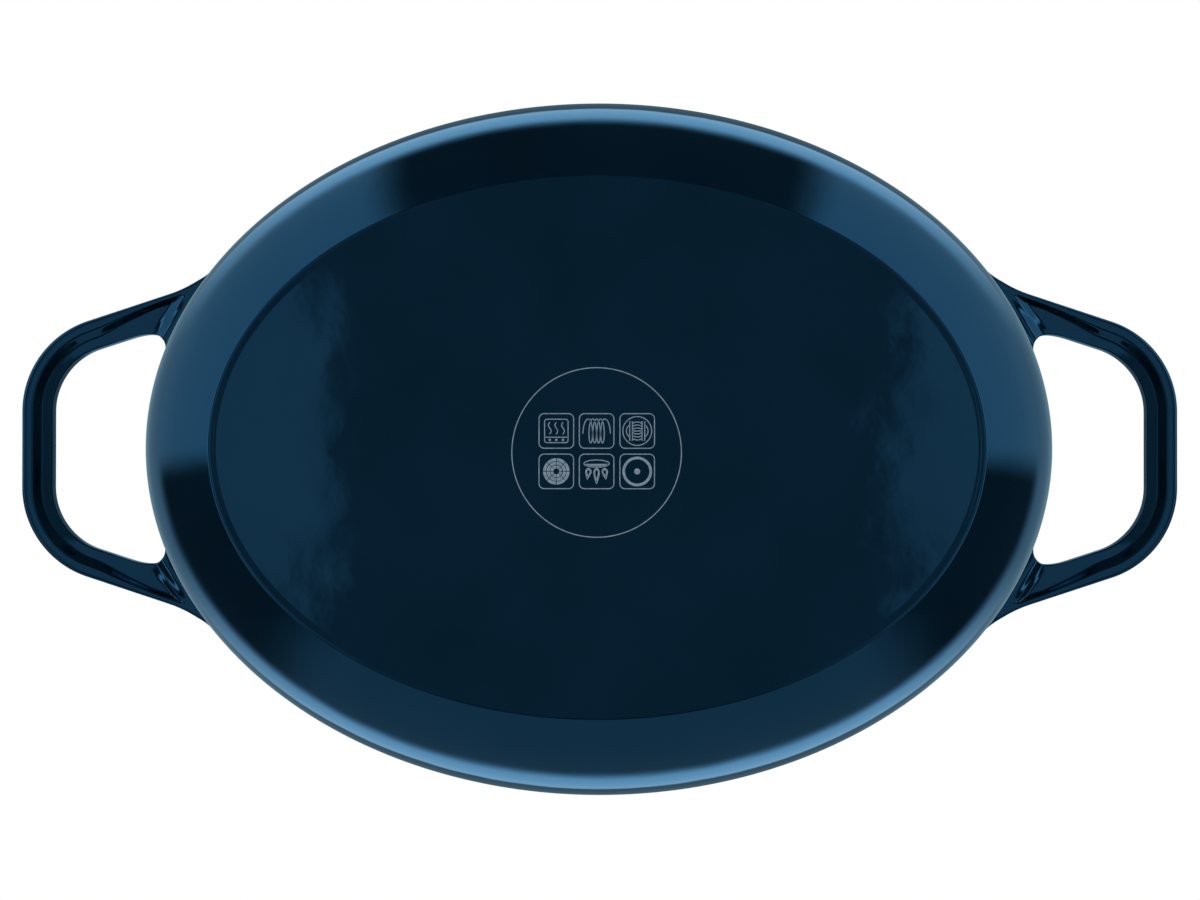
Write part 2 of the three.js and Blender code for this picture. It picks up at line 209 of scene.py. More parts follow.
def arc(x, y, rx, ry, start, end, steps):
    """Points along an elliptic arc between two angles in degrees."""
    angles = (math.radians(start + (end - start) * k / steps) for k in range(steps + 1))
    return [Vector((x + rx * math.cos(a), y + ry * math.sin(a))) for a in angles]


def smoothstep(value, low, high):
    share = min(max((value - low) / (high - low), 0), 1)
    return share * share * (3 - 2 * share)


def mesh_object(name, points, faces):
    """A smooth-shaded object from points in millimetres; edges over 40 degrees stay sharp."""
    mesh = bpy.data.meshes.new(name)
    mesh.from_pydata([Vector(p) * MM for p in points], [], faces)
    build = bmesh.new()
    build.from_mesh(mesh)
    bmesh.ops.recalc_face_normals(build, faces=build.faces)
    build.to_mesh(mesh)
    build.free()
    mesh.shade_smooth()
    mesh.set_sharp_from_angle(angle=math.radians(40))
    made = bpy.data.objects.new(name, mesh)
    bpy.context.scene.collection.objects.link(made)
    return made


def skin(name, rings, looped=False):
    """A closed skin over rings of equally many points: looped, or with a fan over each end."""
    size = len(rings[0])
    points = [p for ring in rings for p in ring]
    faces = []
    for band in range(len(rings) if looped else len(rings) - 1):
        near = band * size
        far = (band + 1) % len(rings) * size
        for i in range(size):
            j = (i + 1) % size
            faces.append((near + i, near + j, far + j, far + i))
    if not looped:
        for ring, start in ((rings[0], 0), (rings[-1], (len(rings) - 1) * size)):
            hub = len(points)
            points.append(sum((Vector(p) for p in ring), Vector((0, 0, 0))) / size)
            faces += [(hub, start + i, start + (i + 1) % size) for i in range(size)]
    return mesh_object(name, points, faces)


def ring_of(a, b, z, sides):
    angles = (2 * math.pi * k / sides for k in range(sides))
    return [(a * math.cos(t), b * math.sin(t), z) for t in angles]


def oval(inset, z):
    """Semi-axes and height of an outline that lies a distance inside the rim's outline."""
    return RIM_LENGTH / 2 - inset, RIM_WIDTH / 2 - SIDE_DRAW * inset, z


def ovals(profile):
    return [oval(p.x, p.y) for p in profile]


def oval_skin(name, outlines, looped=False):
    return skin(name, [ring_of(*outline, OVAL_SIDES) for outline in outlines], looped)


def lathe(name, profile, looped=False):
    """A turned piece; a profile that isn't looped starts and ends close to the axis."""
    return skin(name, [ring_of(p[0], p[0], p[1], ROUND_SIDES) for p in profile], looped)


class Source:
    """The surface of a mesh before it is combined, to take its smooth normals from afterwards."""

    def __init__(self, mesh):
        build = bmesh.new()
        build.from_mesh(mesh)
        bmesh.ops.triangulate(build, faces=build.faces)
        flat = bpy.data.meshes.new("source")
        build.to_mesh(flat)
        build.free()
        corners = [v.co.copy() for v in flat.vertices]
        self.faces = [tuple(face.vertices) for face in flat.polygons]
        self.points = corners
        loops = [n.vector.copy() for n in flat.corner_normals]
        self.normals = [[loops[i] for i in face.loop_indices] for face in flat.polygons]
        self.tree = BVHTree.FromPolygons(corners, self.faces)
        bpy.data.meshes.remove(flat)

    def away(self, place):
        return self.tree.find_nearest(place)[3]

    def normal(self, place):
        """The smooth normal at the nearest point."""
        spot, _, index, _ = self.tree.find_nearest(place)
        a, b, c = (self.points[i] for i in self.faces[index])
        shares = barycentric(spot, a, b, c)
        return sum((n * w for n, w in zip(self.normals[index], shares)), Vector((0, 0, 0))).normalized()


def barycentric(spot, a, b, c):
    u, v, w = b - a, c - a, spot - a
    uu, uv, vv, wu, wv = u.dot(u), u.dot(v), v.dot(v), w.dot(u), w.dot(v)
    below = uu * vv - uv * uv
    if below < 1e-24:
        return (1, 0, 0)
    second = (vv * wu - uv * wv) / below
    third = (uu * wv - uv * wu) / below
    return (1 - second - third, second, third)


def combined(base, operation, *others):
    """The base after joining or cutting with the other objects, which are used up."""
    sources = [Source(obj.data) for obj in (base, *others)]
    for other in others:
        step = base.modifiers.new("combine", "BOOLEAN")
        step.operation = operation
        step.solver = "MANIFOLD"
        step.object = other
    evaluated = base.evaluated_get(bpy.context.evaluated_depsgraph_get())
    mesh = bpy.data.meshes.new_from_object(evaluated)
    base.modifiers.clear()
    base.data = mesh
    mesh.shade_smooth()
    normals = [Vector((0, 0, 1))] * len(mesh.loops)
    for face in mesh.polygons:
        source = min(sources, key=lambda item: item.away(face.center))
        for loop in face.loop_indices:
            found = source.normal(mesh.vertices[mesh.loops[loop].vertex_index].co)
            normals[loop] = found if found.dot(face.normal) > 0 else -found
    mesh.normals_split_custom_set(normals)
    for other in others:
        bpy.data.objects.remove(other)
    return base


# Heights and insets of the pot's wall
RIM_TOP = POT_HEIGHT - GLAZE - FIT
BEAD_FOOT = RIM_TOP - BEAD_HEIGHT
FLOOR_TOP = BASE_RECESS + POT_FLOOR


WALL_DEPTH = BASE_INSET - BEAD_PROUD
WALL_CORNER = FOOT_ROUND + WALL_DEPTH * math.tan(BASE_SLOPE)
MOUTH_INSET = BEAD_PROUD + POT_WALL + FIT + GLAZE


def wall_inset(z):
    """Inset of the curved wall at a height."""
    bend = FOOT_ROUND - 2 * WALL_CORNER + WALL_TOP
    start = WALL_CORNER - FOOT_ROUND
    share = (math.sqrt(start * start + bend * (z - FOOT_ROUND)) - start) / bend
    return BEAD_PROUD + WALL_DEPTH * max(1 - share, 0) ** 2


def pot_outside():
    """Outside of the pot from the recessed base to the rim, as insets and heights."""
    edge = BASE_INSET + FOOT_ROUND / math.tan(BASE_SLOPE)
    edge_in = (edge + FOOT_SOFTENING, 0)
    edge_out = (edge - FOOT_SOFTENING * math.cos(BASE_SLOPE), FOOT_SOFTENING * math.sin(BASE_SLOPE))
    foot_inner = edge + FOOT_SOFTENING + FOOT_WIDTH
    recess = [
        (foot_inner + RECESS_SLOPE, BASE_RECESS),
        (foot_inner + RECESS_SLOPE / 2, BASE_RECESS),
        (foot_inner + RECESS_SLOPE / 2, 0),
        (foot_inner, 0),
    ]
    wall = [(BASE_INSET, FOOT_ROUND), (BEAD_PROUD, WALL_CORNER), (BEAD_PROUD, WALL_TOP)]
    bead = arc(BEAD_PROUD, (BEAD_FOOT + RIM_TOP) / 2, BEAD_PROUD, BEAD_HEIGHT / 2, 246, 90, 20)
    fillet = [(BEAD_PROUD, BEAD_FOOT - BEAD_FILLET), (BEAD_PROUD, BEAD_FOOT), bead[0]]
    return [
        *bezier(recess, 10),
        *bezier([edge_in, (edge, 0), edge_out], 5),
        *bezier(wall, 60),
        *bezier(fillet, 6),
        *bead[1:],
    ]


def pot_inside(coat):
    """Inside of the pot from the rim to the floor, moved into the hollow by a coat."""
    floor = FLOOR_TOP + coat
    side = BEAD_PROUD + POT_WALL + coat
    bend = [(side, WALL_TOP), (side, floor), (side + FLOOR_BEND, floor)]
    return [Vector((side, RIM_TOP)), *bezier(bend, 36)]


def centre_rings(inset, z):
    """Outlines that shrink from an oval to near the axis, so that a flat floor has even faces."""
    a, b, _ = oval(inset, z)
    return [(a * share, b * share, z) for share in (0.8, 0.6, 0.4, 0.2)]


def rim_distance(x, y):
    """How far inside the rim's outline a point lies, along the family of ovals."""
    inset = 0.0
    for _ in range(6):
        a = RIM_LENGTH / 2 - inset
        b = RIM_WIDTH / 2 - SIDE_DRAW * inset
        error = (x / a) ** 2 + (y / b) ** 2 - 1
        inset -= error / (2 * x * x / a**3 + 2 * SIDE_DRAW * y * y / b**3)
    return inset


def meet(start, direction, a, b):
    """Where a line from a start outside an oval first meets it."""
    origin = Vector((start.x / a, start.y / b))
    step = Vector((direction.x / a, direction.y / b))
    half = origin.dot(step)
    root = math.sqrt(half * half - step.length_squared * (origin.length_squared - 1))
    return start + direction * ((-half - root) / step.length_squared)


def along(start, way, a, b):
    """The point a given way along an oval from one of its points."""
    angle = math.atan2(start.y / b, start.x / a)
    angle += way / math.hypot(a * math.sin(angle), b * math.cos(angle))
    return Vector((a * math.cos(angle), b * math.sin(angle)))


HANDLE_TOP = POT_HEIGHT - HANDLE_DROP
HANDLE_FOOT = HANDLE_TOP - HANDLE_DEPTH
HANDLE_MIDDLE = (HANDLE_TOP + HANDLE_FOOT) / 2


def handle_edge(offset, flare):
    """One edge of half a handle in plan, from the middle of the bar into the wall."""
    reach = RIM_LENGTH / 2 + HANDLE_REACH
    turn = math.pi / 2 - HANDLE_SPLAY
    centre_x = reach - HANDLE_CORNER
    centre_y = HANDLE_SPAN / 2 - HANDLE_CORNER * math.tan(turn / 2)
    radius = HANDLE_CORNER - offset
    corner = arc(centre_x, centre_y, radius, radius, 0, math.degrees(turn), 30)
    inward = Vector((-math.cos(HANDLE_SPLAY), math.sin(HANDLE_SPLAY)))
    a, b, _ = oval(wall_inset(HANDLE_MIDDLE), 0)
    core_a, core_b, _ = oval(wall_inset(HANDLE_MIDDLE) + ROOT_BURIAL, 0)
    hit = meet(corner[-1], inward, a, b)
    arm_end = hit - inward * abs(flare)
    root_end = along(hit, flare, a, b)
    buried = Vector((root_end.x * core_a / a, root_end.y * core_b / b))
    return [
        *bezier([(reach - offset, 0), corner[0]], 4),
        *corner[1:],
        *bezier([corner[-1], arm_end], 6)[1:],
        *bezier([arm_end, hit, root_end], 24)[1:],
        *bezier([root_end, buried], 3)[1:],
    ]


def handle_section(width, openness):
    """Section of a handle: x runs in from the outer edge, y is the height; openness 1 is the full recess."""
    recess = HANDLE_FOOT + GRIP_RECESS * openness
    inner = recess + GRIP_TILT * openness
    slope = Vector((GRIP_SLOPE, recess - HANDLE_FOOT)).normalized()
    lip = Vector((GRIP_LIP, HANDLE_FOOT))
    heel = Vector((GRIP_LIP + GRIP_SLOPE, recess))
    flat = Vector((1, 0))
    edge = HANDLE_EDGE
    top = HANDLE_TOP - HANDLE_ROUND
    return [
        *arc(edge, HANDLE_FOOT + edge, edge, edge, 180, 270, 6),
        *bezier([lip - flat * GRIP_LIP_ROUND, lip, lip + slope * GRIP_LIP_ROUND], 6),
        *bezier([heel - slope * GRIP_HEEL_ROUND, heel, heel + flat * GRIP_HEEL_ROUND], 6),
        *arc(width - GRIP_EDGE, inner + GRIP_EDGE, GRIP_EDGE, GRIP_EDGE, 270, 360, 8),
        *arc(width - HANDLE_ROUND, top, HANDLE_ROUND, HANDLE_ROUND, 0, 90, 8),
        *arc(HANDLE_ROUND, top, HANDLE_ROUND, HANDLE_ROUND, 90, 180, 8),
    ]


def flare(clear, reach):
    """How far a round of that reach has climbed the wall, at a clear distance from it."""
    share = min(max(1 - clear / reach, 0), 1)
    return reach * (1 - math.sqrt(1 - share * share))


def handle_ring(outer, inner):
    """Ring of a handle's skin between an outer and an inner plan point, flared where it nears the wall."""
    width = (inner - outer).length
    across = (inner - outer) / width
    toward_wall = Vector((across.y, -across.x))
    middle = (outer + inner) / 2
    clear = wall_inset(HANDLE_MIDDLE) - rim_distance(middle.x, middle.y)
    ring = []
    for closed, opened in zip(handle_section(width, 0), handle_section(width, 1)):
        flat = outer + across * closed.x
        near = wall_inset(HANDLE_FOOT) - rim_distance(flat.x, flat.y)
        p = closed.lerp(opened, smoothstep(near, RECESS_END, RECESS_FULL))
        lean = smoothstep(-clear, -RECESS_END, 0) * (wall_inset(p.y) - wall_inset(HANDLE_MIDDLE))
        place = outer + across * p.x + toward_wall * lean
        gap = wall_inset(p.y) - rim_distance(place.x, place.y)
        height = (p.y - HANDLE_MIDDLE) / (HANDLE_DEPTH / 2)
        rise = max(height, 0) * flare(gap, ROOT_FLARE_UP) + min(height, 0) * flare(gap, ROOT_FLARE_DOWN)
        ring.append(Vector((place.x, place.y, p.y + rise)))
    return ring


def handle(name):
    outer = handle_edge(0, ROOT_FLARE_OUT)
    inner = handle_edge(HANDLE_BAR, -ROOT_FLARE_IN)
    half = [handle_ring(o, i) for o, i in zip(outer, inner)]
    mirrored = [[Vector((p.x, -p.y, p.z)) for p in ring] for ring in half[1:]]
    return skin(name, [*reversed(mirrored), *half])


def pot_body():
    outside = pot_outside()
    inside = pot_inside(0)
    base = centre_rings(outside[0].x, BASE_RECESS)
    floor = centre_rings(inside[-1].x, FLOOR_TOP)
    bowl = oval_skin("pot_body", [*reversed(base), *ovals(outside), *ovals(inside), *floor])
    right = handle("handle_right")
    left = handle("handle_left")
    left.data.transform(Matrix.Rotation(math.pi, 4, "Z"))
    return combined(bowl, "UNION", right, left)


def pot_lining():
    hidden = pot_inside(FIT)
    shown = pot_inside(FIT + GLAZE)
    under = centre_rings(hidden[-1].x, hidden[-1].y)
    over = centre_rings(shown[-1].x, shown[-1].y)
    return oval_skin("pot_interior", [*reversed(under), *ovals(hidden[::-1]), *ovals(shown), *over])


def band(name, outer, inner, bottom, top):
    """A thin oval ring with softened edges."""
    r = SMALL_ROUND * 0.9
    middle = (bottom + top) / 2
    profile = [
        *arc(outer + r, middle, r, (top - bottom) / 2, 270, 90, 6),
        *arc(inner - r, middle, r, (top - bottom) / 2, 90, -90, 6),
    ]
    return oval_skin(name, ovals(profile), looped=True)


# Heights of the lid, measured from the plane of its seat, and insets of its flange and skirt
FLANGE_BOTTOM = GLAZE + FIT
FLANGE_TOP = FLANGE_BOTTOM + FLANGE_THICKNESS
SHOULDER = FLANGE_TOP + STEP_RISE
CROWN = SHOULDER + CROWN_RISE
BOSS_TOP = CROWN + BOSS_RISE
SEAT = POT_HEIGHT + FIT
SKIRT_BOTTOM = -SKIRT_DEPTH
SKIRT_OUTER = MOUTH_INSET + SKIRT_CLEARANCE
SKIRT_INNER = SKIRT_OUTER + SKIRT_WIDTH
STEP_FOOT = LID_SETBACK + FLANGE_WIDTH
STEP_TOP = STEP_FOOT + STEP_RUN
HOLE_RADIUS = SCREW_DIAMETER / 2 + HOLE_CLEARANCE
BOSS_RADIUS = BOSS_DIAMETER / 2


def dome(drop, steps=30):
    """Outlines of the dome, which grows from a circle round the boss into the oval at the shoulder."""
    a, b, _ = oval(STEP_TOP + drop / 2, 0)
    hub = BOSS_RADIUS + BOSS_RISE
    made = []
    for k in range(steps + 1):
        share = k / steps
        made.append((hub + (a - hub) * share, hub + (b - hub) * share, CROWN - drop - CROWN_RISE * share**2))
    return made


def lid_step(drop, steps):
    """Outlines of the shoulder from the flange up to the dome, moved down and in by the lid's wall."""
    foot = STEP_FOOT + drop / 2
    step = [
        (foot, FLANGE_TOP - drop),
        (foot + STEP_RUN / 2, FLANGE_TOP - drop),
        (foot + STEP_RUN / 3, SHOULDER - STEP_RISE / 4 - drop),
        (foot + STEP_RUN, SHOULDER - drop),
    ]
    return list(ovals(bezier(step, steps)))


def lid_underside(coat):
    """Outlines under the lid from the screw's hole to the bottom of the skirt, moved down by a coat."""
    drop = LID_WALL + coat
    hole = [(HOLE_RADIUS, HOLE_RADIUS, CROWN - drop), (12.0, 12.0, CROWN - drop)]
    inner = SKIRT_INNER + coat
    corner = [
        (inner + SKIRT_ROUND, FLANGE_TOP - drop),
        (inner, FLANGE_TOP - drop),
        (inner, FLANGE_TOP - drop - SKIRT_ROUND),
    ]
    return [
        *hole,
        *dome(drop),
        *reversed(lid_step(drop, 20)[:-1]),
        *ovals(bezier(corner, 6)),
        oval(inner, SKIRT_BOTTOM + SKIRT_CHAMFER),
    ]


def lid_shell():
    edge = LID_SETBACK + LID_ROUND
    boss = [
        (BOSS_RADIUS + BOSS_RISE * 0.6, CROWN + 0.1),
        (BOSS_RADIUS + BOSS_RISE * 0.2, CROWN + BOSS_RISE * 0.6),
        (BOSS_RADIUS - 0.3, BOSS_TOP),
    ]
    upper = [
        *ovals(arc(edge, FLANGE_BOTTOM + LID_ROUND / 2, LID_ROUND, LID_ROUND / 2, 270, 180, 5)),
        *ovals(arc(edge, FLANGE_TOP - LID_ROUND, LID_ROUND, LID_ROUND, 180, 90, 8)),
        *lid_step(0, 28),
        *reversed(dome(0)[:-1]),
        *((p.x, p.x, p.y) for p in bezier(boss, 6)),
        (HOLE_RADIUS, HOLE_RADIUS, BOSS_TOP),
    ]
    skirt = [
        oval(SKIRT_INNER - SKIRT_CHAMFER, SKIRT_BOTTOM),
        oval(SKIRT_OUTER + SKIRT_CHAMFER, SKIRT_BOTTOM),
        oval(SKIRT_OUTER, SKIRT_BOTTOM + SKIRT_CHAMFER),
        oval(SKIRT_OUTER, FLANGE_BOTTOM),
    ]
    return oval_skin("lid_shell", raised([*upper, *lid_underside(0), *skirt]), looped=True)


def raised(outlines):
    """Outlines of the lid, moved up to its seat on the rim."""
    return [(a, b, z + SEAT) for a, b, z in outlines]


def lid_lining():
    outlines = [*lid_underside(FIT), *reversed(lid_underside(FIT + GLAZE))]
    return oval_skin("lid_interior", raised(outlines), looped=True)


# Stack of the knob above the lid and of its screw below, in the pot's frame
GASKET_BOTTOM = SEAT + BOSS_TOP + FIT
STEM_BOTTOM = GASKET_BOTTOM + GASKET_THICKNESS + FIT
STEM_TOP = STEM_BOTTOM + STEM_HEIGHT
CAP_BOTTOM = STEM_TOP - CAP_WALL
WASHER_TOP = SEAT + CROWN - LID_WALL - FIT - GLAZE - FIT
LOCK_TOP = WASHER_TOP - WASHER_THICKNESS - FIT
HEAD_TOP = LOCK_TOP - LOCK_THICKNESS - FIT
SCREW_END = STEM_BOTTOM + SCREW_GRIP
BORE_RADIUS = SCREW_DIAMETER / 2 + FIT
NEAR_AXIS = 0.02


def washer(name, radius, bottom, top):
    r = SMALL_ROUND
    profile = [
        (BORE_RADIUS, bottom),
        *arc(radius - r, bottom + r, r, r, -90, 0, 4),
        *arc(radius - r, top - r, r, r, 0, 90, 4),
        (BORE_RADIUS, top),
    ]
    return lathe(name, profile, looped=True)


def knob_stem():
    collar_top = CAP_BOTTOM - FIT
    collar_foot = collar_top - STEM_LAND
    foot_top = STEM_BOTTOM + STEM_LAND
    waist = (foot_top + collar_foot) / 2
    foot, thin, collar = STEM_FOOT / 2, STEM_WAIST / 2, STEM_COLLAR / 2
    r = SMALL_ROUND * 1.5
    profile = [
        (NEAR_AXIS, SCREW_END + FIT),
        (BORE_RADIUS, SCREW_END + FIT),
        (BORE_RADIUS, STEM_BOTTOM),
        *arc(foot - r, STEM_BOTTOM + r, r, r, -90, 0, 5),
        *arc(foot - r, foot_top - r, r, r, 0, 60, 4),
        *bezier([(foot - 1, foot_top), (thin, foot_top), (thin, waist)], 20),
        *bezier([(thin, waist), (thin, collar_foot), (collar - 1, collar_foot)], 20)[1:],
        *arc(collar - r, collar_foot + r, r, r, -60, 0, 4),
        *arc(collar - r, collar_top - r, r, r, 0, 90, 5),
        (STEM_PLUG / 2, collar_top),
        (STEM_PLUG / 2, STEM_TOP),
        (NEAR_AXIS, STEM_TOP),
    ]
    return lathe("knob_neck", profile)


def knob_cap():
    opening = STEM_PLUG / 2 + FIT
    radius = CAP_DIAMETER / 2
    widest = CAP_BOTTOM + CAP_BULGE
    rise = CAP_HEIGHT - CAP_BULGE
    under = radius - CAP_TUCK
    inner = arc(0, widest, radius - CAP_WALL, rise - CAP_WALL, 89.9, 0, 24)
    outer = arc(0, widest, radius, rise, 0, 89.9, 40)
    belly = [(under - 0.6, CAP_BOTTOM), (under + 0.9, CAP_BOTTOM), (radius, widest - 1.9), (radius, widest)]
    profile = [
        *inner,
        (under - CAP_WALL / 2, CAP_BOTTOM + CAP_WALL),
        (opening, CAP_BOTTOM + CAP_WALL),
        (opening, CAP_BOTTOM),
        *bezier(belly, 14),
        *outer[1:],
    ]
    return lathe("knob_crown", profile)


def knob_screw():
    bottom = HEAD_TOP - HEAD_HEIGHT
    radius = HEAD_DIAMETER / 2
    shank = SCREW_DIAMETER / 2
    profile = [
        (NEAR_AXIS, bottom),
        *bezier([(radius - 2 * HEAD_ROUND, bottom), (radius, bottom), (radius, bottom + HEAD_ROUND)], 8),
        (radius, HEAD_TOP),
        (shank, HEAD_TOP),
        *thread(shank),
        (shank - SCREW_TIP, SCREW_END),
        (NEAR_AXIS, SCREW_END),
    ]
    turned = lathe("knob_bolt", profile)
    corners = [(x, y, z) for z in (-1, 1) for x, y in ((-1, -1), (1, -1), (1, 1), (-1, 1))]
    sides = [(0, 1, 2, 3), (4, 5, 6, 7), (0, 1, 5, 4), (1, 2, 6, 5), (2, 3, 7, 6), (3, 0, 4, 7)]
    block = [(x * HEAD_DIAMETER, y * SLOT_WIDTH / 2, bottom + z * SLOT_DEPTH) for x, y, z in corners]
    return combined(turned, "DIFFERENCE", mesh_object("slot", block, sides))


def thread(shank, pitch=1.0, depth=0.35):
    """Grooves of the screw's shank inside the knob."""
    made = []
    z = STEM_BOTTOM
    while z < SCREW_END - SCREW_TIP - pitch:
        made += [(shank, z), (shank - depth, z + pitch / 2)]
        z += pitch
    return [*made, (shank, SCREW_END - SCREW_TIP)]


def lock_washer():
    """Spring washer: a ring whose split ends stand a little apart in height."""
    inner, outer = BORE_RADIUS, LOCK_DIAMETER / 2
    bottom, top = LOCK_TOP - LOCK_THICKNESS, LOCK_TOP
    steps = 72
    rings = []
    for k in range(steps + 1):
        angle = LOCK_SPLIT / 2 + (2 * math.pi - LOCK_SPLIT) * k / steps
        section = [(inner, bottom), (outer, bottom), (outer, top), (inner, top)]
        rings.append([(r * math.cos(angle), r * math.sin(angle), z) for r, z in section])
    return skin("spring_washer", rings)


class Print:
    """Flat strokes and patches of ink on the recessed base."""

    def __init__(self):
        self.points = []
        self.faces = []

    def patch(self, outline):
        """A filled outline."""
        start, size = len(self.points), len(outline)
        for z in (BASE_RECESS, BASE_RECESS - INK):
            self.points += [(x, y, z) for x, y in outline]
        self.faces.append(tuple(range(start, start + size)))
        self.faces.append(tuple(range(start + size, start + 2 * size)))
        for i in range(size):
            j = (i + 1) % size
            self.faces.append((start + i, start + j, start + size + j, start + size + i))

    def stroke(self, path, width, closed=False):
        """A line of even width along a path."""
        path = [Vector(p) for p in path]
        last = len(path) - 1
        quads = []
        for k, p in enumerate(path):
            before = path[k - 1] if closed or k > 0 else p
            after = path[(k + 1) % len(path)] if closed or k < last else p
            way = (after - before).normalized()
            side = Vector((-way.y, way.x)) * width / 2
            quads.append((p + side, p - side))
        start = len(self.points)
        for left, right in quads:
            for p, z in ((left, 0), (right, 0), (right, INK), (left, INK)):
                self.points.append((p.x, p.y, BASE_RECESS - z))
        for k in range(len(quads) if closed else len(quads) - 1):
            near = start + 4 * k
            far = start + 4 * ((k + 1) % len(quads))
            for i in range(4):
                j = (i + 1) % 4
                self.faces.append((near + i, near + j, far + j, far + i))
        if not closed:
            self.faces.append(tuple(start + i for i in range(4)))
            self.faces.append(tuple(start + 4 * last + i for i in range(4)))


def round_square(half, radius):
    straight = half - radius
    corners = (
        (straight, straight, 0),
        (-straight, straight, 90),
        (-straight, -straight, 180),
        (straight, -straight, 270),
    )
    return [p for x, y, start in corners for p in arc(x, y, radius, radius, start, start + 90, 6)]


def full_circle(x, y, rx, ry, steps=48):
    return arc(x, y, rx, ry, 0, 360, steps)[:-1]


def oven_sign(ink, place):
    ink.stroke(place(round_square(3.9, 0.8)), LINE, closed=True)
    ink.stroke(place([(-3.9, 2.1), (3.9, 2.1)]), LINE)
    for x in (-2.2, 0, 2.2):
        ink.patch(place(full_circle(x, 3.0, 0.4, 0.4, 16)))
        wave = [(x + 0.45 * math.sin(t * 1.6), -2.9 + t) for t in (k * 0.2 for k in range(21))]
        ink.stroke(place(wave), LINE)


def coil_sign(ink, place):
    turns, steps = 4.0, 200
    path = []
    for k in range(steps + 1):
        t = turns * k / steps
        angle = 2 * math.pi * t
        path.append((-2.6 + 5.2 * t / turns + 0.9 * math.sin(angle), -4.0 * math.cos(angle)))
    ink.stroke(place(path), LINE)
    for side in (-1, 1):
        ink.stroke(place(bezier([(side * 2.6, -4.0), (side * 4.3, -3.9), (side * 4.6, 0.9)], 12)), LINE)


def waves_sign(ink, place):
    ink.stroke(place(full_circle(0, 0, 4.8, 4.8)), LINE, closed=True)
    ink.stroke(place([(-1.6, 0), (1.6, 0)]), LINE)
    for side in (-1, 1):
        bar = [(side * 1.6, -3.2), (side * 2.5, -3.2), (side * 2.5, 3.2), (side * 1.6, 3.2)]
        ink.stroke(place(bar), LINE, closed=True)
        ink.stroke(place(arc(side * 1.2, 0, side * 2.4, 2.4, -55, 55, 16)), LINE)
    for way in (-1, 1):
        for reach in (0.9, 1.9, 2.9):
            end = way * (reach - 0.3)
            wave = bezier([(-1.4, end), (0, way * (reach + 0.5)), (1.4, end)], 12)
            ink.stroke(place(wave), LINE)


def plate_sign(ink, place):
    gap = 7
    for inner, outer in ((1.0, 2.0), (2.2, 3.2), (3.4, 4.4)):
        for k in range(8):
            start, end = 45 * k + gap / outer, 45 * (k + 1) - gap / outer
            sector = arc(0, 0, outer, outer, start, end, 8) + arc(0, 0, inner, inner, end, start, 8)
            ink.patch(place(sector))


def flame_sign(ink, place):
    ink.stroke(place(full_circle(0, -2.6, 4.2, 1.2)), LINE, closed=True)
    ink.patch(place(arc(0, -2.5, 3.6, 0.75, 0, 180, 24)))
    for x, height, lean in ((-2.7, 2.5, -0.4), (0, 4.1, 0), (2.7, 2.5, 0.4)):
        foot = -0.9
        tip = (x + lean, foot + height + 0.9)
        left = bezier([(x, foot), (x - 1.5, foot + 0.9), (x - 0.4, foot + 0.6 * height), tip], 12)
        right = bezier([tip, (x + 0.4, foot + 0.6 * height), (x + 1.5, foot + 0.9), (x, foot)], 12)
        ink.stroke(place(left + right[1:-1]), LINE * 1.9, closed=True)


def hotplate_sign(ink, place):
    ink.stroke(place(full_circle(0, 0, 4.5, 4.5)), LINE * 2.8, closed=True)
    ink.patch(place(full_circle(0, 0, 1.0, 1.0, 32)))


def base_print():
    """A ring with generic cooker signs, which stand upside down in the photograph's view."""
    ink = Print()
    ink.stroke(full_circle(RING_SIDE, RING_SHIFT, RING_RADIUS, RING_RADIUS, 180), LINE, closed=True)
    signs = ((oven_sign, coil_sign, waves_sign), (plate_sign, flame_sign, hotplate_sign))
    for y, row in zip(TILE_ROWS, signs):
        for x, sign in zip(TILE_COLUMNS, row):

            def place(points, x=x, y=y):
                return [Vector((RING_SIDE + x - p[0], RING_SHIFT + y + p[1])) for p in points]

            ink.stroke(place(round_square(TILE / 2, TILE_ROUND)), LINE, closed=True)
            sign(ink, place)
    return mesh_object("base_print", ink.points, ink.faces)


def linear(red, green, blue):
    """Linear colour from 8-bit sRGB."""
    shares = (value / 255 for value in (red, green, blue))
    return (*(s / 12.92 if s <= 0.04045 else ((s + 0.055) / 1.055) ** 2.4 for s in shares), 1.0)


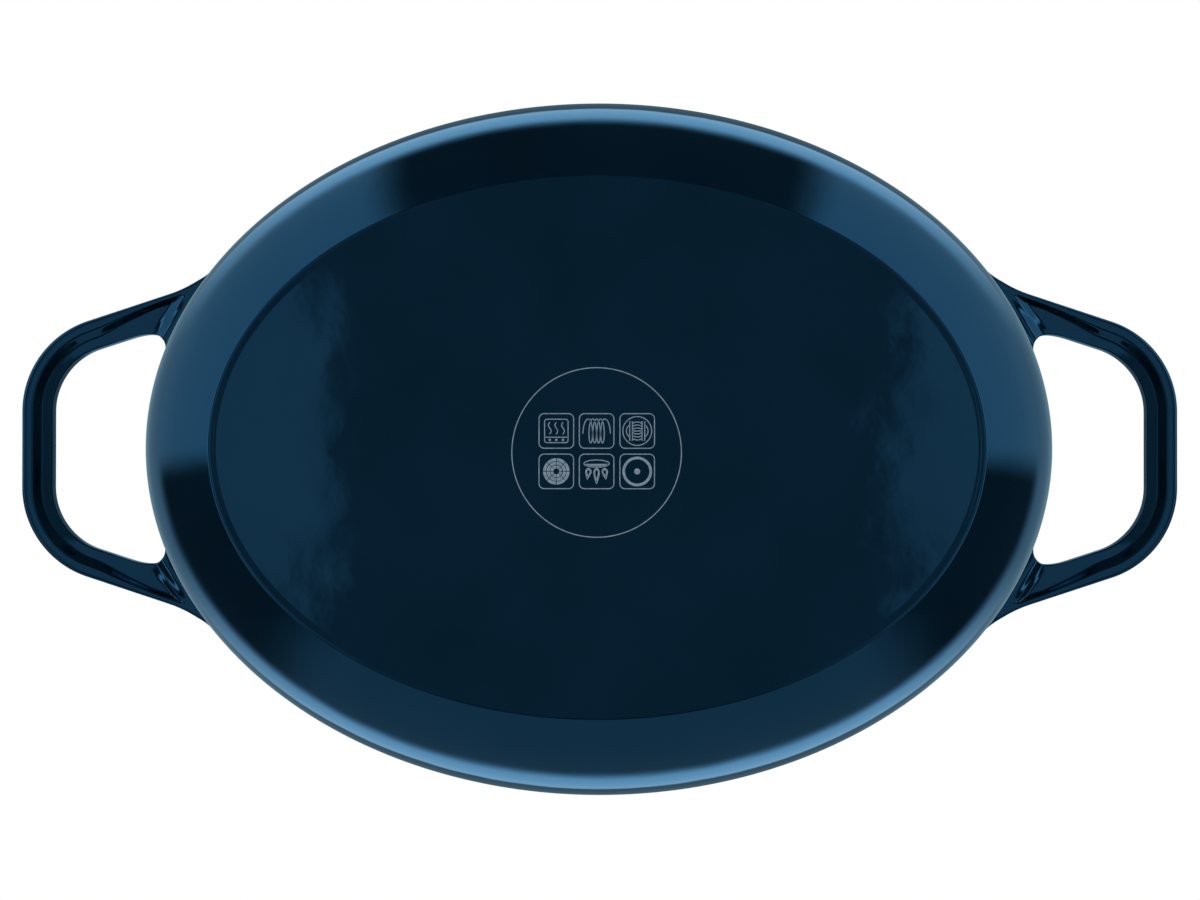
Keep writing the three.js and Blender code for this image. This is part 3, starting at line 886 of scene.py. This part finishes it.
class Shader:
    """A new material with its principled shader and short ways to add texture nodes."""

    def __init__(self, name):
        self.material = bpy.data.materials.new(name)
        self.material.use_nodes = True
        self.tree = self.material.node_tree
        self.main = self.tree.nodes["Principled BSDF"]
        self.place = self.tree.nodes.new("ShaderNodeTexCoord").outputs["Object"]

    def set(self, **values):
        for name, value in values.items():
            self.main.inputs[name.replace("_", " ")].default_value = value

    def add(self, kind, links=(), **settings):
        node = self.tree.nodes.new(kind)
        for name, value in settings.items():
            if hasattr(node, name):
                setattr(node, name, value)
            else:
                node.inputs[name.replace("_", " ")].default_value = value
        for socket, source in dict(links).items():
            self.tree.links.new(source, node.inputs[socket])
        return node

    def noise(self, scale, detail=3.0, roughness=0.5, vector=None):
        links = {"Vector": vector or self.place}
        node = self.add("ShaderNodeTexNoise", links, Scale=scale, Detail=detail, Roughness=roughness)
        return node.outputs["Fac"]

    def ramp(self, source, stops):
        node = self.add("ShaderNodeValToRGB", {"Fac": source})
        ramp = node.color_ramp
        while len(ramp.elements) < len(stops):
            ramp.elements.new(1.0)
        for element, (position, color) in zip(ramp.elements, stops):
            element.position = position
            element.color = color
        return node.outputs["Color"]

    def color(self, source):
        self.tree.links.new(source, self.main.inputs["Base Color"])

    def roughness(self, source, low, high):
        spread = self.add("ShaderNodeMapRange", {"Value": source})
        spread.inputs["To Min"].default_value = low
        spread.inputs["To Max"].default_value = high
        self.tree.links.new(spread.outputs["Result"], self.main.inputs["Roughness"])

    def bump(self, *layers):
        """Bump from (height, distance in metres) layers, each on top of the one before."""
        normal = None
        for height, distance in layers:
            links = {"Height": height}
            if normal:
                links["Normal"] = normal
            normal = self.add("ShaderNodeBump", links, Distance=distance, Strength=1.0).outputs["Normal"]
        self.tree.links.new(normal, self.main.inputs["Normal"])


def blue_enamel():
    """Deep blue vitreous enamel: soft clouds of two close shades, fine specks and a rippled gloss."""
    s = Shader("blue_enamel")
    clouds = s.noise(22, 4.0, 0.55)
    s.color(s.ramp(clouds, [(0.3, linear(2, 17, 28)), (0.7, linear(6, 26, 40))]))
    s.roughness(s.noise(60, 2.0), 0.018, 0.045)
    s.bump((s.noise(26, 2.0, 0.5), 0.00022), (s.noise(150, 2.0, 0.5), 0.000018))
    s.set(IOR=2.2, Specular_IOR_Level=1.0, Specular_Tint=linear(124, 201, 255))
    return s.material


def cream_enamel():
    """Light enamel of the inside: warm white with fine specks and slight ripples."""
    s = Shader("cream_enamel")
    clouds = s.noise(14, 4.0, 0.6)
    specks = s.noise(900, 1.0, 0.4)
    shade = s.ramp(clouds, [(0.3, linear(226, 216, 196)), (0.7, linear(238, 230, 213))])
    dots = s.ramp(specks, [(0.69, (1, 1, 1, 1)), (0.74, linear(190, 178, 158))])
    mixed = s.add("ShaderNodeMix", data_type="RGBA", blend_type="MULTIPLY")
    mixed.inputs["Factor"].default_value = 1.0
    s.tree.links.new(shade, mixed.inputs["A"])
    s.tree.links.new(dots, mixed.inputs["B"])
    s.color(mixed.outputs["Result"])
    s.roughness(s.noise(70, 2.0), 0.08, 0.2)
    s.bump((s.noise(30, 2.0), 0.0002), (s.noise(260, 2.0), 0.00002))
    return s.material


def rim_enamel():
    """Dull charcoal enamel of the rims, with a fine grain."""
    s = Shader("rim_enamel")
    s.color(s.ramp(s.noise(300, 4.0, 0.7), [(0.3, linear(30, 33, 37)), (0.75, linear(58, 61, 65))]))
    s.roughness(s.noise(220, 3.0), 0.42, 0.65)
    s.bump((s.noise(1200, 3.0, 0.6), 0.00006))
    return s.material


def turned_steel(name, dark, light, rough):
    """Steel with fine turning marks round the axis."""
    s = Shader(name)
    flat = s.add("ShaderNodeVectorMath", {0: s.place}, operation="MULTIPLY")
    flat.inputs[1].default_value = (1, 1, 0)
    radius = s.add("ShaderNodeVectorMath", {0: flat.outputs["Vector"]}, operation="LENGTH").outputs["Value"]
    split = s.add("ShaderNodeSeparateXYZ", {"Vector": s.place})
    line = s.add("ShaderNodeCombineXYZ", {"X": radius, "Y": split.outputs["Z"]}).outputs["Vector"]
    marks = s.noise(2600, 3.0, 0.7, vector=line)
    s.color(s.ramp(marks, [(0.25, dark), (0.75, light)]))
    s.roughness(marks, rough - 0.08, rough + 0.08)
    s.bump((marks, 0.000012))
    s.set(Metallic=0.8)
    return s.material


def silicone():
    s = Shader("silicone")
    s.color(s.ramp(s.noise(500, 3.0), [(0.3, linear(20, 20, 22)), (0.7, linear(34, 34, 36))]))
    s.roughness(s.noise(300, 2.0), 0.6, 0.8)
    s.bump((s.noise(1500, 2.0), 0.00003))
    return s.material


def ink():
    """Pale print that the blue shows through a little."""
    s = Shader("print_ink")
    s.color(s.ramp(s.noise(900, 3.0, 0.7), [(0.3, linear(102, 126, 146)), (0.7, linear(142, 162, 178))]))
    s.roughness(s.noise(600, 2.0), 0.35, 0.55)
    s.bump((s.noise(2000, 2.0), 0.00001))
    return s.material


def dress(piece, body, material, slot, *nodes):
    """Gives a piece its material and lets it stand for its solids on its body; the slot argument is not used.
    """
    piece.data.materials.clear()
    piece.data.materials.append(material)
    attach(piece, body)
    if nodes:
        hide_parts(*nodes)


def build_object():
    blue, cream, dull = blue_enamel(), cream_enamel(), rim_enamel()
    steel = turned_steel("knob_steel", linear(176, 178, 181), linear(222, 223, 225), 0.27)
    plain = turned_steel("fastener_steel", linear(150, 152, 155), linear(196, 198, 200), 0.36)
    lid_band = (LID_SETBACK + LID_ROUND, SKIRT_OUTER - FIT, SEAT, SEAT + GLAZE)
    rim_band = (BEAD_PROUD, MOUTH_INSET, POT_HEIGHT - GLAZE, POT_HEIGHT)
    gasket = washer("knob_seal", GASKET_DIAMETER / 2, GASKET_BOTTOM, GASKET_BOTTOM + GASKET_THICKNESS)
    flat_washer = washer("plain_washer", WASHER_DIAMETER / 2, WASHER_TOP - WASHER_THICKNESS, WASHER_TOP)
    pot = pot_body()
    pot.visible_glossy = False
    dress(pot, "pot", blue, "outer_enamel", "pot_casting")
    dress(pot_lining(), "pot", cream, "inner_enamel", "pot_lining")
    dress(band("pot_rim_band", *rim_band), "pot", dull, "rim_enamel", "pot_rim_glaze")
    dress(base_print(), "pot", ink(), "rim_enamel")
    dress(lid_shell(), "lid", blue, "outer_enamel", "lid_casting")
    dress(lid_lining(), "lid", cream, "inner_enamel", "lid_lining")
    dress(band("lid_rim_band", *lid_band), "lid", dull, "rim_enamel", "lid_rim_glaze")
    dress(gasket, "lid", silicone(), "gasket", "knob_gasket")
    dress(knob_stem(), "lid", steel, "knob_steel", "knob_stem")
    dress(knob_cap(), "lid", steel, "knob_steel", "knob_cap")
    dress(flat_washer, "lid", plain, "fastener_steel", "screw_washer")
    dress(lock_washer(), "lid", plain, "fastener_steel", "lock_washer")
    dress(knob_screw(), "lid", plain, "fastener_steel", "knob_screw")


def build_camera():
    """The photograph looks straight up at the base, so the camera stands below the pot."""
    data = bpy.data.cameras.new("camera")
    data.lens = LENS
    data.sensor_width = SENSOR
    data.clip_start = 0.05
    data.clip_end = 60
    camera = bpy.data.objects.new("camera", data)
    camera.location = Vector((CAMERA_RIGHT, CAMERA_SIDE, -CAMERA_DEPTH)) * MM
    camera.rotation_euler = (math.pi + CAMERA_TILT, -CAMERA_PAN, CAMERA_ROLL)
    bpy.context.scene.collection.objects.link(camera)
    bpy.context.scene.camera = camera


def card(name, corners, faces, material):
    """A part of the studio, in metres."""
    mesh = bpy.data.meshes.new(name)
    mesh.from_pydata(corners, [], faces)
    mesh.materials.append(material)
    made = bpy.data.objects.new(name, mesh)
    bpy.context.scene.collection.objects.link(made)
    return made


def between(value, low, high, soft):
    """1 between two values and 0 outside them, with soft edges."""
    return smoothstep(value, low - soft, low + soft) * (1 - smoothstep(value, high - soft, high + soft))


def studio_level(azimuth, elevation, x):
    """Level in one direction: dim cloth, a long softbox on each long side, three upright panels, dark below."""
    across = smoothstep(abs(math.sin(math.radians(azimuth))), 0.3, 0.95)
    along = smoothstep(abs(math.cos(math.radians(azimuth))), 0.6, 0.9)
    softbox = SOFTBOX_END + (SOFTBOX_SIDE - SOFTBOX_END) * across
    ceiling = CEILING_END + (CEILING_SIDE - CEILING_END) * across
    turn = abs((azimuth - 90) % 360 - 180)
    panel = between(turn, PANEL_TURN - PANEL_HALF, PANEL_TURN + PANEL_HALF, PANEL_SOFTNESS)
    back_edge = (BACK_PANEL_HALF - BACK_PANEL_SOFTNESS, BACK_PANEL_HALF + BACK_PANEL_SOFTNESS)
    back_panel = 1 - smoothstep(180 - turn, *back_edge)
    panels = PANEL_LEVEL * panel + BACK_PANEL_LEVEL * back_panel
    level = CLOTH_LEVEL + panels * between(elevation, PANEL_FOOT, SOFTBOX_FOOT, PANEL_SOFTNESS)
    level += END_FILL * along * between(elevation, END_FILL_FOOT, PANEL_FOOT, LOW_SOFTNESS)
    level += (softbox - level) * smoothstep(elevation, SOFTBOX_FOOT - SOFTBOX_SOFTNESS, SOFTBOX_FOOT) ** 2
    level += (ceiling - level) * smoothstep(elevation, SOFTBOX_TOP, SOFTBOX_TOP + CEILING_SOFTNESS)
    level += (ZENITH_LEVEL - level) * smoothstep(elevation, CEILING_TOP, CEILING_TOP + CEILING_SOFTNESS)
    under_end = smoothstep(abs(x), UNDER_HALF - UNDER_SOFTNESS, UNDER_HALF + UNDER_SOFTNESS)
    under = UNDER_LEVEL + UNDER_END * under_end
    above = smoothstep(elevation, UNDER_TOP - LOW_SOFTNESS, UNDER_TOP + LOW_SOFTNESS)
    return level + (under - level) * (1 - above)


def build_tent():
    """Panels and black screens round the pot that only its gloss shows."""
    material = bpy.data.materials.new("studio_tent")
    material.use_nodes = True
    tree = material.node_tree
    tree.nodes.clear()
    light = tree.nodes.new("ShaderNodeEmission")
    painted = tree.nodes.new("ShaderNodeAttribute")
    painted.attribute_name = "level"
    out = tree.nodes.new("ShaderNodeOutputMaterial")
    tree.links.new(painted.outputs["Color"], light.inputs["Color"])
    tree.links.new(light.outputs["Emission"], out.inputs["Surface"])
    columns, rows = 360, 181
    points, colors, faces = [], [], []
    for row in range(rows):
        elevation = -90 + 180 * row / (rows - 1)
        for column in range(columns):
            azimuth = 360 * column / columns
            flat = TENT_RADIUS * math.cos(math.radians(elevation))
            x = flat * math.cos(math.radians(azimuth))
            y = flat * math.sin(math.radians(azimuth))
            points.append((x, y, TENT_RADIUS * math.sin(math.radians(elevation))))
            level = studio_level(azimuth, elevation, x)
            colors += [level * share for share in TENT_COLOR] + [1.0]
            if row:
                here, back = row * columns, (row - 1) * columns
                after = (column + 1) % columns
                faces.append((back + column, back + after, here + after, here + column))
    tent = card("studio_tent", points, faces, material)
    tent.data.color_attributes.new("level", "FLOAT_COLOR", "POINT").data.foreach_set("color", colors)
    tent.visible_camera = False
    tent.visible_diffuse = False
    tent.visible_transmission = False
    tent.visible_volume_scatter = False
    tent.visible_shadow = False


def build_floor():
    """A pale floor that is seen from above only, so that the photograph's view from below stays open."""
    material = bpy.data.materials.new("floor")
    material.use_nodes = True
    tree = material.node_tree
    shader = tree.nodes["Principled BSDF"]
    shader.inputs["Base Color"].default_value = (0.86, 0.86, 0.86, 1)
    shader.inputs["Roughness"].default_value = 0.9
    shader.inputs["Specular IOR Level"].default_value = 0.0
    clear = tree.nodes.new("ShaderNodeBsdfTransparent")
    side = tree.nodes.new("ShaderNodeNewGeometry")
    mix = tree.nodes.new("ShaderNodeMixShader")
    tree.links.new(side.outputs["Backfacing"], mix.inputs[0])
    tree.links.new(shader.outputs["BSDF"], mix.inputs[1])
    tree.links.new(clear.outputs["BSDF"], mix.inputs[2])
    tree.links.new(mix.outputs["Shader"], tree.nodes["Material Output"].inputs["Surface"])
    half = 12.0
    drop = -0.0003
    corners = [(-half, -half, drop), (half, -half, drop), (half, half, drop), (-half, half, drop)]
    floor = card("floor", corners, [(0, 1, 2, 3)], material)
    floor.visible_diffuse = False
    floor.visible_glossy = False
    floor.visible_transmission = False
    floor.visible_shadow = False


def build_world():
    """Even soft light, and white where the camera, gloss or glass sees it."""
    world = bpy.data.worlds.new("studio")
    bpy.context.scene.world = world
    world.use_nodes = True
    tree = world.node_tree
    tree.nodes.clear()
    seen = tree.nodes.new("ShaderNodeLightPath")
    camera_or_gloss = tree.nodes.new("ShaderNodeMath")
    camera_or_gloss.operation = "MAXIMUM"
    any_seen = tree.nodes.new("ShaderNodeMath")
    any_seen.operation = "MAXIMUM"
    around = tree.nodes.new("ShaderNodeBackground")
    around.inputs["Color"].default_value = (WORLD_LEVEL, WORLD_LEVEL, WORLD_LEVEL, 1)
    white = tree.nodes.new("ShaderNodeBackground")
    white.inputs["Color"].default_value = (1, 1, 1, 1)
    mix = tree.nodes.new("ShaderNodeMixShader")
    out = tree.nodes.new("ShaderNodeOutputWorld")
    tree.links.new(seen.outputs["Is Camera Ray"], camera_or_gloss.inputs[0])
    tree.links.new(seen.outputs["Is Glossy Ray"], camera_or_gloss.inputs[1])
    tree.links.new(camera_or_gloss.outputs["Value"], any_seen.inputs[0])
    tree.links.new(seen.outputs["Is Transmission Ray"], any_seen.inputs[1])
    tree.links.new(any_seen.outputs["Value"], mix.inputs[0])
    tree.links.new(around.outputs["Background"], mix.inputs[1])
    tree.links.new(white.outputs["Background"], mix.inputs[2])
    tree.links.new(mix.outputs["Shader"], out.inputs["Surface"])
    world.cycles.sampling_method = "NONE"


def build_lamp():
    """A soft lamp above, for the shadow on the floor."""
    lamp = bpy.data.lights.new("soft_lamp", "AREA")
    lamp.size = 1.2
    lamp.energy = 14.0
    holder = bpy.data.objects.new("soft_lamp", lamp)
    holder.location = (-0.7, -0.8, 1.6)
    holder.rotation_euler = (-holder.location).to_track_quat("-Z", "Y").to_euler()
    holder.visible_camera = False
    holder.visible_glossy = False
    bpy.context.scene.collection.objects.link(holder)


build_camera()
build_world()
build_floor()
build_tent()
build_lamp()
build_object()

view = bpy.context.scene.view_settings
view.view_transform = "Standard"
